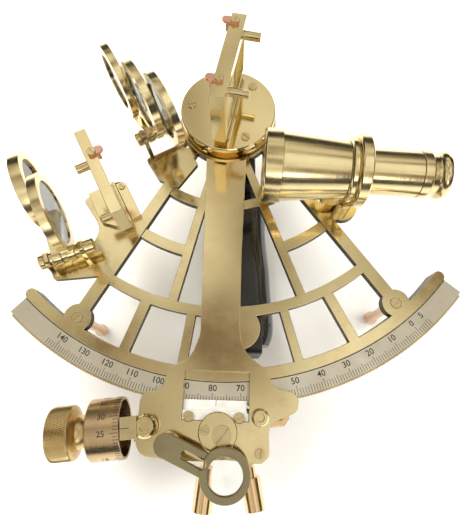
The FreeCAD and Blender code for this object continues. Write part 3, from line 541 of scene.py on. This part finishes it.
def polar(radius, degrees):
    angle = math.radians(degrees)
    return Vector((PIVOT.x + radius * math.cos(angle), PIVOT.y + radius * math.sin(angle), 0.0))


def mark_box(bm, matrix, length, width, height):
    """Thin engraved line, its inner end at the matrix's origin, running along its x."""
    box = bmesh.ops.create_cube(bm, size=1.0)
    shape = Matrix.Translation((length / 2, 0, 0)) @ Matrix.Diagonal((length, width, height, 1.0))
    bmesh.ops.transform(bm, matrix=matrix @ shape, verts=box["verts"])


def add_figures(bm, text, size, place):
    """Adds the text's mesh, each point sent through place."""
    curve = bpy.data.curves.new("figure", "FONT")
    curve.body = text
    curve.size = size
    curve.align_x = "CENTER"
    curve.align_y = "CENTER"
    curve.extrude = 0.00002
    curve.offset = 0.00004
    curve.resolution_u = 4
    holder = bpy.data.objects.new("figure", curve)
    mesh = bpy.data.meshes.new_from_object(holder)
    before = len(bm.verts)
    bm.from_mesh(mesh)
    bm.verts.ensure_lookup_table()
    for vert in bm.verts[before:]:
        vert.co = place(vert.co)
    bpy.data.objects.remove(holder)
    bpy.data.curves.remove(curve)
    bpy.data.meshes.remove(mesh)


class SEXTANT_OT_metals(bpy.types.Operator):
    """Gives every piece of the frame its metal, glass or black finish"""
    bl_idname = "sextant.metals"
    bl_label = "Finishes"

    def execute(self, context):
        for name, finish in NODE_FINISH.items():
            mesh = frame["nodes"][name].data
            if not mesh.materials:
                mesh.materials.append(None)
            for index in range(len(mesh.materials)):
                mesh.materials[index] = shared_material(finish)
        return {"FINISHED"}


class SEXTANT_OT_edges(bpy.types.Operator):
    """Rounds the edges of the castings, rings and screws"""
    bl_idname = "sextant.edges"
    bl_label = "Rounded edges"

    def execute(self, context):
        width = context.scene.sextant_metals.edge_width
        for name, share in EASED.items():
            eased_piece(name, width * share)
        return {"FINISHED"}


class SEXTANT_OT_arc_marks(bpy.types.Operator):
    """Engraves the degree lines, the figures and the border line of the arc"""
    bl_idname = "sextant.arc_marks"
    bl_label = "Arc scale"

    def execute(self, context):
        marks = context.scene.sextant_marks
        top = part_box("arc_scale")[1].z
        bm = bmesh.new()
        for reading in range(marks.first_reading, marks.last_reading + 1):
            angle = SCALE_ZERO - reading / READING_PER_DEGREE
            start = DEGREE_START
            if reading % 10 == 0:
                start = TEN_DEGREE_START
            elif reading % 5 == 0:
                start = FIVE_DEGREE_START
            inner = polar(start, angle)
            inner.z = top
            matrix = Matrix.Translation(inner) @ Matrix.Rotation(math.radians(angle), 4, "Z")
            mark_box(bm, matrix, DEGREE_END - start, marks.line_width, ARC_MARK_HEIGHT)
        labels = [(reading, str(reading)) for reading in range(0, marks.last_reading, 10)]
        labels.append((-5, "5"))
        for reading, label in labels:
            angle = SCALE_ZERO - reading / READING_PER_DEGREE
            middle = polar(marks.figure_radius, angle)
            middle.z = top + 0.00001
            turn = Matrix.Translation(middle) @ Matrix.Rotation(math.radians(angle + 90), 4, "Z")
            add_figures(bm, label, marks.figure_height, lambda point: turn @ point)
        section = bmesh.ops.create_circle(bm, cap_ends=False, segments=4, radius=BORDER_HALF_WIDTH)
        flat = Matrix.Diagonal((1.0, 0.3, 1.0, 1.0))
        stand = Matrix.Rotation(math.radians(90), 4, "X")
        place = Matrix.Translation((PIVOT.x + BORDER_RADIUS, PIVOT.y, top))
        aim = (Matrix.Translation(PIVOT) @ Matrix.Rotation(math.radians(BORDER_START), 4, "Z")
               @ Matrix.Translation(-PIVOT))
        bmesh.ops.transform(bm, matrix=aim @ place @ stand @ flat, verts=section["verts"])
        edges = list({edge for vert in section["verts"] for edge in vert.link_edges})
        bmesh.ops.spin(bm, geom=section["verts"] + edges, cent=PIVOT, axis=(0, 0, 1),
                       angle=math.radians(BORDER_RUN), steps=180, use_duplicate=False)
        bmesh.ops.holes_fill(bm, edges=bm.edges, sides=8)
        bmesh.ops.recalc_face_normals(bm, faces=bm.faces)
        finish_object(bm, "arc_engraving", "sextant_frame",
                      [shared_material("engraving")])
        return {"FINISHED"}


class SEXTANT_OT_drum_marks(bpy.types.Operator):
    """Engraves the sixty minute lines and the figures round the drum, and the index lines"""
    bl_idname = "sextant.drum_marks"
    bl_label = "Drum and index lines"

    def execute(self, context):
        across = -DRUM_AXIS
        up = Vector((0, 0, 1))
        side = up.cross(across)
        radius = (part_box("micrometer_drum")[1].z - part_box("micrometer_drum")[0].z) / 2
        line = context.scene.sextant_marks.line_width

        def on_drum(point, distance, turn):
            angle = turn + point.y / radius
            outward = up * math.cos(angle) + side * math.sin(angle)
            return (DRUM_CENTRE + DRUM_AXIS * distance + across * point.x
                    + outward * (radius + point.z))

        bm = bmesh.new()
        for minute in range(MINUTES):
            turn = math.radians((minute - DRUM_REST_READING) * 360.0 / MINUTES)
            length = FIVE_MINUTE_LENGTH if minute % 5 == 0 else MINUTE_LENGTH
            box = bmesh.ops.create_cube(bm, size=1.0)
            for vert in box["verts"]:
                flat = Vector((vert.co.x * length - length / 2, vert.co.y * line,
                               vert.co.z * DRUM_MARK_HEIGHT))
                vert.co = on_drum(flat, MINUTE_START, turn)
            if minute % 5 == 0:
                lift = Vector((0, 0, 0.00002))
                add_figures(bm, str(minute), MINUTE_FIGURE_SIZE,
                            lambda point: on_drum(point + lift, MINUTE_FIGURES, turn))
        bmesh.ops.recalc_face_normals(bm, faces=bm.faces)
        finish_object(bm, "drum_engraving", "drum",
                      [shared_material("engraving")])

        bm = bmesh.new()
        finger = DRUM_CENTRE + DRUM_AXIS * FINGER_PLACE
        finger.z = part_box("drum_index")[1].z
        turn = Matrix.Rotation(math.atan2(across.y, across.x), 4, "Z")
        mark_box(bm, Matrix.Translation(finger) @ turn, 0.0036, line * 1.3, DRUM_MARK_HEIGHT)
        finish_object(bm, "drum_index_line", "worm_carriage_assembly",
                      [shared_material("engraving")])

        bm = bmesh.new()
        angle = SCALE_ZERO - REST_READING / READING_PER_DEGREE
        start = polar(ARM_LINE_START, angle)
        start.z = PIVOT.z + ARM_LINE_RISE
        aim = Matrix.Translation(start) @ Matrix.Rotation(math.radians(angle), 4, "Z")
        mark_box(bm, aim, ARM_LINE_LENGTH, line, DRUM_MARK_HEIGHT)
        finish_object(bm, "arm_index_line", "index_arm_assembly",
                      [shared_material("engraving")])
        return {"FINISHED"}


class SEXTANT_OT_knob(bpy.types.Operator):
    """Turns the drum's knob with a slanted knurl"""
    bl_idname = "sextant.knob"
    bl_label = "Knurled knob"

    def execute(self, context):
        knob = context.scene.sextant_knob
        ridges = knob.ridges
        # Turned profile: distance along the drum's axis, radius, share of the knurl's depth
        stations = [(0.07335, 0.0080, 0.0), (0.0742, 0.0073, 0.0), (0.0752, 0.0068, 0.0),
                    (0.0762, 0.0067, 0.0), (0.0774, 0.0068, 0.0), (0.0785, 0.0073, 0.0),
                    (0.0793, 0.0086, 0.0), (0.0800, 0.0104, 0.0), (0.0805, 0.01100, 0.3),
                    (KNURL_START, KNURL_RADIUS, 1.0)]
        stations += [(KNURL_START + KNURL_LENGTH * i / KNURL_STEPS, KNURL_RADIUS, 1.0)
                     for i in range(1, KNURL_STEPS + 1)]
        stations += [(0.0896, 0.01105, 0.5), (0.0900, 0.01060, 0.0), (0.0905, 0.0094, 0.0)]
        bm = bmesh.new()
        ring = bmesh.ops.create_circle(bm, cap_ends=False, segments=ridges * 4, radius=1.0)
        rows = [list(ring["verts"])]
        edges = list({edge for vert in ring["verts"] for edge in vert.link_edges})
        for _ in stations[1:]:
            made = bmesh.ops.extrude_edge_only(bm, edges=edges)
            edges = [item for item in made["geom"] if isinstance(item, bmesh.types.BMEdge)]
            rows.append([item for item in made["geom"] if isinstance(item, bmesh.types.BMVert)])
        up = Vector((0, 0, 1))
        side = up.cross(-DRUM_AXIS)
        for (distance, radius, cut), row in zip(stations, rows):
            twist = knob.twist * (distance - KNURL_START) / KNURL_LENGTH
            for vert in row:
                flat = math.atan2(vert.co.y, vert.co.x)
                wave = 0.5 + 0.5 * math.cos(ridges * flat)
                reach = radius - knob.depth * cut * (1.0 - wave)
                angle = flat + (twist if cut else 0.0)
                vert.co = (DRUM_CENTRE + DRUM_AXIS * distance
                           + (up * math.cos(angle) + side * math.sin(angle)) * reach)
        bmesh.ops.holes_fill(bm, edges=bm.edges, sides=0)
        bmesh.ops.recalc_face_normals(bm, faces=bm.faces)
        piece = finish_object(bm, "knurled_knob", "drum",
                              [shared_material("knob_brass")])
        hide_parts("drum_knob")
        return {"FINISHED"}


class SEXTANT_OT_stage(bpy.types.Operator):
    """Sets out the pale floor, the soft lights and the camera"""
    bl_idname = "sextant.stage"
    bl_label = "Stage"

    def execute(self, context):
        stage = context.scene.sextant_stage
        bm = bmesh.new()
        bmesh.ops.create_grid(bm, x_segments=1, y_segments=1, size=stage.floor_size / 2)
        mesh = bpy.data.meshes.new("floor")
        bm.to_mesh(mesh)
        bm.free()
        floor = bpy.data.objects.new("floor", mesh)
        context.scene.collection.objects.link(floor)
        mesh.materials.append(coated("floor_pale", (0.93, 0.93, 0.92), (0.90, 0.90, 0.89), 0.7,
                                     scale=6.0, bump=0.0))
        for name, place, size, power, tint in LIGHTS:
            light = bpy.data.lights.new(name + "_light", "AREA")
            light.shape = "RECTANGLE"
            light.size = size
            light.size_y = size * 0.7
            light.energy = stage.light * power
            light.color = tint
            lamp = bpy.data.objects.new(name + "_light", light)
            lamp.location = place
            aim = LIGHT_TARGET - Vector(place)
            lamp.rotation_euler = aim.to_track_quat("-Z", "Y").to_euler()
            lamp.visible_glossy = name == "front"
            context.scene.collection.objects.link(lamp)
        studio_world(context.scene)
        lens = bpy.data.cameras.new("camera")
        lens.sensor_fit = "VERTICAL"
        lens.sensor_height = 36.0
        lens.lens = stage.focal_length
        lens.clip_start = 0.01
        camera = bpy.data.objects.new("camera", lens)
        camera.location = PIVOT + CAMERA_FROM_PIVOT
        camera.rotation_euler = (math.radians(CAMERA_TILT), 0.0, 0.0)
        context.scene.collection.objects.link(camera)
        context.scene.camera = camera
        context.scene.view_settings.view_transform = "Standard"
        return {"FINISHED"}


def studio_world(scene):
    """Pale room, bright overhead; a dark band above the horizon gives the metal its contrast."""
    world = bpy.data.worlds.new("studio")
    scene.world = world
    world.use_nodes = True
    tree = world.node_tree
    tree.nodes.clear()
    out = node(tree, "ShaderNodeOutputWorld", 600, 0)
    sky = node(tree, "ShaderNodeBackground", 400, 0)
    place = node(tree, "ShaderNodeTexCoord", -600, 0)
    split = node(tree, "ShaderNodeSeparateXYZ", -400, 0)
    bands = node(tree, "ShaderNodeValToRGB", -150, 0)
    steps = bands.color_ramp
    steps.elements[0].position = 0.0
    steps.elements[0].color = (0.75, 0.74, 0.72, 1.0)
    steps.elements[1].position = 1.0
    steps.elements[1].color = (0.74, 0.74, 0.73, 1.0)
    for position, value in ((0.50, 0.60), (0.53, 0.045), (0.72, 0.07), (0.80, 0.72), (0.92, 0.80)):
        step = steps.elements.new(position)
        step.color = (value, value * 0.97, value * 0.92, 1.0)
    level = node(tree, "ShaderNodeMapRange", -280, -200)
    level.inputs["From Min"].default_value = -1.0
    level.inputs["From Max"].default_value = 1.0
    sky.inputs["Strength"].default_value = ROOM_BRIGHTNESS
    link = tree.links.new
    link(place.outputs["Generated"], split.inputs["Vector"])
    link(split.outputs["Z"], level.inputs["Value"])
    link(level.outputs["Result"], bands.inputs["Fac"])
    patches = node(tree, "ShaderNodeTexNoise", -400, 350)
    patches.inputs["Scale"].default_value = 2.6
    patches.inputs["Detail"].default_value = 1.0
    tones = node(tree, "ShaderNodeValToRGB", -150, 350)
    tones.color_ramp.elements[0].position = 0.36
    tones.color_ramp.elements[0].color = (0.30, 0.24, 0.18, 1.0)
    tones.color_ramp.elements[1].position = 0.62
    tones.color_ramp.elements[1].color = (1.25, 1.25, 1.22, 1.0)
    middle = tones.color_ramp.elements.new(0.48)
    middle.color = (0.80, 0.77, 0.68, 1.0)
    blend = node(tree, "ShaderNodeMix", 200, 100, data_type="RGBA", blend_type="MULTIPLY")
    blend.inputs["Factor"].default_value = 1.0
    link(place.outputs["Generated"], patches.inputs["Vector"])
    link(patches.outputs["Fac"], tones.inputs["Fac"])
    link(bands.outputs["Color"], blend.inputs["A"])
    link(tones.outputs["Color"], blend.inputs["B"])
    link(blend.outputs["Result"], sky.inputs["Color"])
    wall = node(tree, "ShaderNodeBackground", 400, -150)
    wall.inputs["Color"].default_value = (0.93, 0.93, 0.92, 1.0)
    ray = node(tree, "ShaderNodeLightPath", 200, 300)
    either = node(tree, "ShaderNodeMixShader", 600, 100)
    out.location = (800, 0)
    link(ray.outputs["Is Camera Ray"], either.inputs["Fac"])
    link(sky.outputs["Background"], either.inputs[1])
    link(wall.outputs["Background"], either.inputs[2])
    link(either.outputs["Shader"], out.inputs["Surface"])


class SEXTANT_PT_panel(bpy.types.Panel):
    """Sextant pieces and their settings"""
    bl_label = "Sextant"
    bl_idname = "SEXTANT_PT_panel"
    bl_space_type = "VIEW_3D"
    bl_region_type = "UI"
    bl_category = "Sextant"

    def draw(self, context):
        scene = context.scene
        for settings in (scene.sextant_metals, scene.sextant_marks, scene.sextant_knob,
                         scene.sextant_stage):
            box = self.layout.box()
            for name in settings.__annotations__:
                box.prop(settings, name)
        for operator in OPERATORS:
            self.layout.operator(operator.bl_idname)


SETTINGS = (
    ("sextant_metals", SextantMetals),
    ("sextant_marks", SextantMarks),
    ("sextant_knob", SextantKnob),
    ("sextant_stage", SextantStage),
)
OPERATORS = (
    SEXTANT_OT_metals,
    SEXTANT_OT_edges,
    SEXTANT_OT_arc_marks,
    SEXTANT_OT_drum_marks,
    SEXTANT_OT_knob,
    SEXTANT_OT_stage,
)


def register():
    for name, group in SETTINGS:
        bpy.utils.register_class(group)
        setattr(bpy.types.Scene, name, PointerProperty(type=group))
    for operator in OPERATORS:
        bpy.utils.register_class(operator)
    bpy.utils.register_class(SEXTANT_PT_panel)


def unregister():
    bpy.utils.unregister_class(SEXTANT_PT_panel)
    for operator in reversed(OPERATORS):
        bpy.utils.unregister_class(operator)
    for name, group in reversed(SETTINGS):
        delattr(bpy.types.Scene, name)
        bpy.utils.unregister_class(group)


def main():
    register()
    bpy.ops.sextant.metals()
    bpy.ops.sextant.edges()
    bpy.ops.sextant.arc_marks()
    bpy.ops.sextant.drum_marks()
    bpy.ops.sextant.knob()
    bpy.ops.sextant.stage()


if __name__ == "__main__":
    main()
